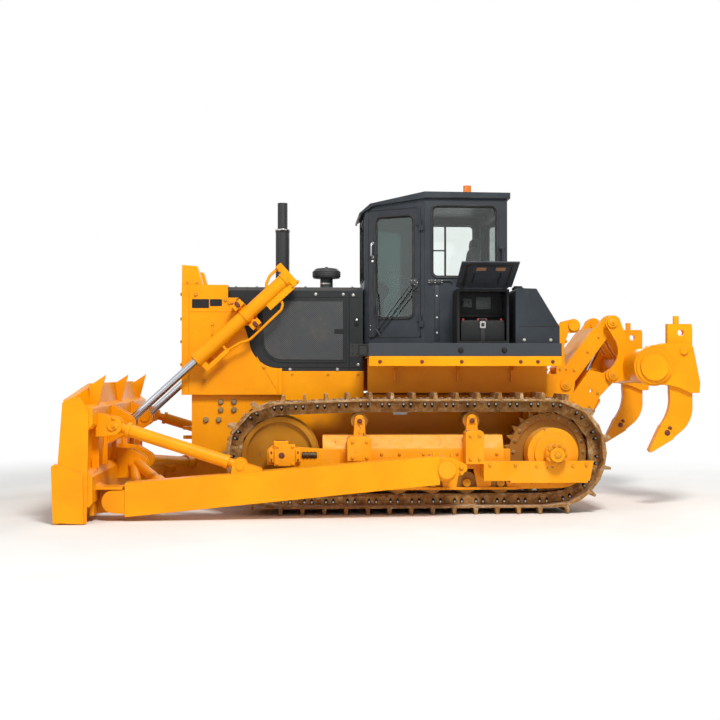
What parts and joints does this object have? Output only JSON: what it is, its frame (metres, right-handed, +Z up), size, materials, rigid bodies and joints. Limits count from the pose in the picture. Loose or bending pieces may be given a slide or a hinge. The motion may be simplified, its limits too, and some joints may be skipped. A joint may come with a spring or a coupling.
{
  "type": "bulldozer",
  "caption": "Crawler bulldozer with a straight tilt blade on push arms, closed hexagonal cab, tracks and a parallelogram ripper with two shanks.",
  "frame": {"origin": "On the ground, at the middle of the whole machine's box in plan.", "axes": "The machine faces -X and its left side is -Y; +X to the rear, +Y to its right, +Z up."},
  "size_m": [6.457, 3.725, 3.489],
  "materials": {
    "body_yellow": "satin",
    "charcoal": "satin",
    "track_steel": "worn",
    "chrome_rod": "polished",
    "steel": "worn",
    "window_glass": "clear",
    "exhaust_steel": "matte",
    "seat_cover": "woven",
    "amber_lens": "glossy",
    "black_plastic": "matte"
  },
  "bodies": {
    "chassis": {"main_frame": "body_yellow", "engine": "steel", "rear_case": "body_yellow", "radiator_guard": "body_yellow", "radiator": "charcoal", "hood": "charcoal", "side_panel_left": "charcoal", "side_panel_right": "charcoal", "exhaust_stack": "exhaust_steel", "air_cleaner": "exhaust_steel", "front_lamps": "body_yellow", "platform": "charcoal", "fenders": "body_yellow", "battery_box": "charcoal", "hydraulic_tank": "charcoal", "fuel_tank": "charcoal", "cab_frame": "charcoal", "cab_side_left": "charcoal", "cab_side_right": "charcoal", "cab_back": "charcoal", "cab_glass": "window_glass", "cab_roof": "charcoal", "beacon": "amber_lens", "console": "black_plastic", "seat": "seat_cover", "final_drive_left": "body_yellow", "final_drive_right": "body_yellow", "idler_left": "body_yellow", "idler_right": "body_yellow", "rollers_left": "body_yellow", "rollers_right": "body_yellow", "track_frame_left": "body_yellow", "track_frame_right": "body_yellow", "track_left": "track_steel", "track_right": "track_steel", "ripper_mount": "body_yellow"},
    "blade": {"blade": "body_yellow", "push_arm_left": "body_yellow", "push_arm_right": "body_yellow", "tilt_strut_left": "body_yellow", "tilt_strut_right": "body_yellow"},
    "lift_barrel_left": {"lift_yoke_left": "body_yellow", "lift_barrel_left": "body_yellow"},
    "lift_rod_left": {"lift_rod_left": "chrome_rod"},
    "lift_barrel_right": {"lift_yoke_right": "body_yellow", "lift_barrel_right": "body_yellow"},
    "lift_rod_right": {"lift_rod_right": "chrome_rod"},
    "ripper_arm": {"ripper_arm": "body_yellow"},
    "ripper_links": {"ripper_links": "body_yellow"},
    "ripper_beam": {"ripper_beam": "body_yellow", "ripper_shanks": "body_yellow", "ripper_points": "steel"},
    "ripper_barrels": {"ripper_barrels": "body_yellow"},
    "ripper_rods": {"ripper_rods": "chrome_rod"},
    "door_left": {"door_left": "charcoal", "door_glass_left": "window_glass"},
    "door_right": {"door_right": "charcoal", "door_glass_right": "window_glass"},
    "battery_lid": {"battery_lid": "charcoal"}
  },
  "joints": [
    {"name": "blade_lift", "type": "hinge", "parent": "chassis", "child": "blade", "pos_m": [0.497, 0, 0.479], "axis": [0, 1, 0], "range_deg": [-8, 19]},
    {"name": "lift_swing_left", "type": "hinge", "parent": "chassis", "child": "lift_barrel_left", "pos_m": [-1.473, -0.665, 2.018], "axis": [0, 1, 0], "range_deg": [-13, 29]},
    {"name": "lift_stroke_left", "type": "slide", "parent": "lift_barrel_left", "child": "lift_rod_left", "axis": [-0.7373, 0, -0.6755], "range_m": [-0.8, 0.34]},
    {"name": "lift_swing_right", "type": "hinge", "parent": "chassis", "child": "lift_barrel_right", "pos_m": [-1.473, 0.665, 2.018], "axis": [0, 1, 0], "range_deg": [-13, 29]},
    {"name": "lift_stroke_right", "type": "slide", "parent": "lift_barrel_right", "child": "lift_rod_right", "axis": [-0.7373, 0, -0.6755], "range_m": [-0.8, 0.34]},
    {"name": "ripper_lift", "type": "hinge", "parent": "chassis", "child": "ripper_arm", "pos_m": [1.938, 0, 0.718], "axis": [0, 1, 0], "range_deg": [0, 80]},
    {"name": "ripper_link_swing", "type": "hinge", "parent": "chassis", "child": "ripper_links", "pos_m": [1.93, 0, 1.281], "axis": [0, 1, 0], "range_deg": [-0.5, 80.5]},
    {"name": "ripper_beam_level", "type": "hinge", "parent": "ripper_arm", "child": "ripper_beam", "pos_m": [2.446, 0, 1.392], "axis": [0, 1, 0], "range_deg": [-80.5, 0.5]},
    {"name": "ripper_cylinder_swing", "type": "hinge", "parent": "chassis", "child": "ripper_barrels", "pos_m": [1.95, 0, 0.88], "axis": [0, 1, 0], "range_deg": [-0.5, 67]},
    {"name": "ripper_stroke", "type": "slide", "parent": "ripper_barrels", "child": "ripper_rods", "axis": [0.4512, 0, 0.8924], "range_m": [-0.35, 0.005]},
    {"name": "door_swing_left", "type": "hinge", "parent": "chassis", "child": "door_left", "pos_m": [0.32826, -0.79017, 2.4], "axis": [0, 0, 1], "range_deg": [0, 105]},
    {"name": "door_swing_right", "type": "hinge", "parent": "chassis", "child": "door_right", "pos_m": [0.32826, 0.79017, 2.4], "axis": [0, 0, -1], "range_deg": [0, 105]},
    {"name": "battery_lid_swing", "type": "hinge", "parent": "chassis", "child": "battery_lid", "pos_m": [0.936, -1.132, 2.276], "axis": [1, 0, 0], "range_deg": [0, 112]}
  ],
  "couplings": [
    {"joint": "lift_swing_left", "follows": "blade_lift", "ratio": 1.42},
    {"joint": "lift_stroke_left", "follows": "blade_lift", "m_per_rad": -2.3319},
    {"joint": "lift_swing_right", "follows": "blade_lift", "ratio": 1.42},
    {"joint": "lift_stroke_right", "follows": "blade_lift", "m_per_rad": -2.3319},
    {"joint": "ripper_link_swing", "follows": "ripper_lift", "ratio": 1},
    {"joint": "ripper_beam_level", "follows": "ripper_lift", "ratio": -1},
    {"joint": "ripper_cylinder_swing", "follows": "ripper_lift", "ratio": 0.83},
    {"joint": "ripper_stroke", "follows": "ripper_lift", "m_per_rad": -0.245}
  ]
}
